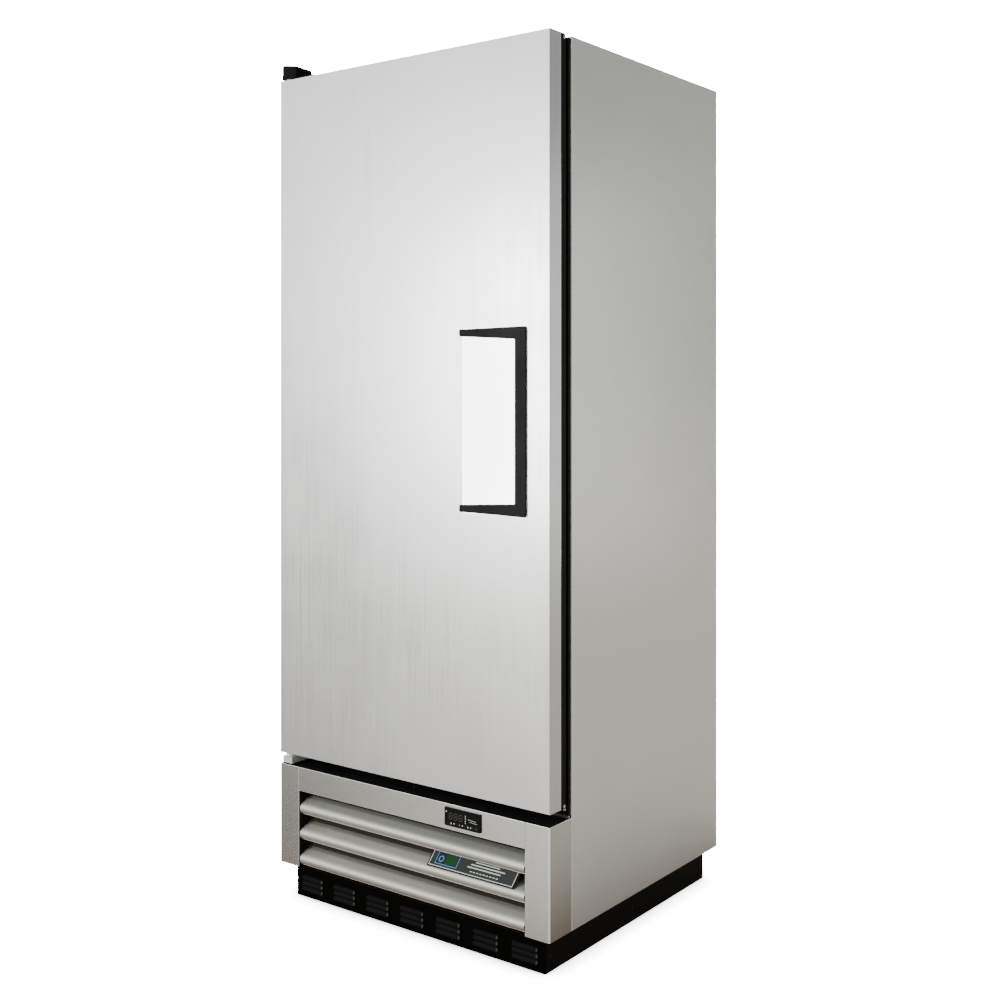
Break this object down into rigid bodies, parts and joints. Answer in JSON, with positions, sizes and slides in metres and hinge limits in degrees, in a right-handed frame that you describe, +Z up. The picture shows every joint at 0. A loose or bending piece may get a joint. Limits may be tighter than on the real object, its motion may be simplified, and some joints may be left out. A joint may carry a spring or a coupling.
{
  "type": "reach-in refrigerator",
  "caption": "Upright one-door kitchen refrigerator with a recessed side grip, wire shelves and a louvered machine compartment on a low plinth.",
  "frame": {"origin": "middle of the bounding box's footprint, at floor level", "axes": "+X to the right seen from the front, +Y from the door to the back, +Z up"},
  "size_m": [0.632, 0.618, 1.603],
  "materials": {
    "grey_sheet": "satin",
    "plain_sheet": "satin",
    "foam": "matte",
    "liner_sheet": "satin",
    "black_plastic": "satin",
    "black_trim": "satin",
    "gasket_rubber": "matte",
    "stainless": "brushed",
    "black_steel": "satin",
    "badge": "satin",
    "gloss_black": "gloss",
    "display": "gloss",
    "buttons": "gloss",
    "hinge_steel": "satin",
    "nylon": "satin",
    "white_plastic": "satin",
    "clear_plastic": "gloss",
    "shelf_wire": "satin",
    "coil_fins": "satin",
    "motor": "satin",
    "fan_blade": "satin",
    "copper": "satin",
    "pan_plastic": "matte",
    "rubber_parts": "matte",
    "screws": "satin"
  },
  "bodies": {
    "cabinet": {"side_panel_left": "grey_sheet", "side_panel_right": "grey_sheet", "top_panel": "plain_sheet", "back_panel": "plain_sheet", "base_pan": "plain_sheet", "cabinet_insulation": "foam", "inner_liner": "liner_sheet", "front_frame": "black_plastic", "sill_trim": "plain_sheet", "rear_bumpers": "rubber_parts", "kick_plate": "black_steel", "plinth_sides": "black_steel", "grille_post_left": "stainless", "grille_post_right": "stainless", "grille_header": "stainless", "grille_ledge": "black_trim", "badge_plate": "badge", "controller_bezel": "gloss_black", "controller_display": "display", "bottom_hinge_bracket": "hinge_steel", "top_hinge_bracket": "hinge_steel", "top_hinge_cover": "black_trim", "shelf_pilasters": "liner_sheet", "shelf_clips": "liner_sheet", "light_housing": "white_plastic", "light_lens": "clear_plastic", "evaporator_cover": "liner_sheet", "evaporator_coil": "coil_fins", "evaporator_fan_motor": "motor", "compressor": "black_steel", "condenser_coil": "coil_fins", "condenser_fan_motor": "motor", "refrigerant_lines": "copper", "condensate_pan": "pan_plastic", "control_box": "plain_sheet", "rear_grille": "plain_sheet", "cord_gland": "rubber_parts", "cabinet_screws": "screws", "grille_louver_1": "stainless", "grille_louver_2": "stainless", "grille_louver_3": "stainless"},
    "door": {"door_bushings": "nylon", "door_skin": "stainless", "door_insulation": "foam", "door_channel": "black_plastic", "door_liner": "liner_sheet", "door_gasket": "gasket_rubber", "handle_pocket": "white_plastic", "handle_bezel": "black_trim", "door_screws": "screws"},
    "shelf_1": {"shelf_1": "shelf_wire"},
    "shelf_2": {"shelf_2": "shelf_wire"},
    "shelf_3": {"shelf_3": "shelf_wire"},
    "light_switch": {"light_switch": "white_plastic"},
    "evaporator_fan": {"evaporator_fan_blade": "fan_blade"},
    "condenser_fan": {"condenser_fan_blade": "fan_blade"},
    "button_1": {"controller_button_1": "buttons"},
    "button_2": {"controller_button_2": "buttons"},
    "button_3": {"controller_button_3": "buttons"},
    "button_4": {"controller_button_4": "buttons"}
  },
  "joints": [
    {"name": "door_hinge", "type": "hinge", "parent": "cabinet", "child": "door", "pos_m": [-0.302, -0.291, 0.925], "axis": [0, 0, -1], "range_deg": [0, 120], "stiffness_Nm_per_rad": 0.6, "springref_deg": -68.75},
    {"name": "shelf_1_lift", "type": "slide", "parent": "cabinet", "child": "shelf_1", "axis": [0, 0, 1], "range_m": [0, 0.02]},
    {"name": "shelf_2_lift", "type": "slide", "parent": "cabinet", "child": "shelf_2", "axis": [0, 0, 1], "range_m": [0, 0.02]},
    {"name": "shelf_3_lift", "type": "slide", "parent": "cabinet", "child": "shelf_3", "axis": [0, 0, 1], "range_m": [0, 0.02]},
    {"name": "light_switch_rock", "type": "hinge", "parent": "cabinet", "child": "light_switch", "pos_m": [0.17, -0.194, 1.511], "axis": [0, 1, 0], "range_deg": [-8, 8]},
    {"name": "evaporator_fan_spin", "type": "hinge", "parent": "cabinet", "child": "evaporator_fan", "pos_m": [0, 0.017, 1.46], "axis": [0, 1, 0], "continuous": true},
    {"name": "condenser_fan_spin", "type": "hinge", "parent": "cabinet", "child": "condenser_fan", "pos_m": [-0.11, -0.183, 0.157], "axis": [0, 1, 0], "continuous": true},
    {"name": "button_1_press", "type": "slide", "parent": "cabinet", "child": "button_1", "axis": [0, 1, 0], "range_m": [0, 0.0008], "stiffness_N_per_m": 400, "springref_m": -0.0005},
    {"name": "button_2_press", "type": "slide", "parent": "cabinet", "child": "button_2", "axis": [0, 1, 0], "range_m": [0, 0.0008], "stiffness_N_per_m": 400, "springref_m": -0.0005},
    {"name": "button_3_press", "type": "slide", "parent": "cabinet", "child": "button_3", "axis": [0, 1, 0], "range_m": [0, 0.0008], "stiffness_N_per_m": 400, "springref_m": -0.0005},
    {"name": "button_4_press", "type": "slide", "parent": "cabinet", "child": "button_4", "axis": [0, 1, 0], "range_m": [0, 0.0008], "stiffness_N_per_m": 400, "springref_m": -0.0005}
  ]
}
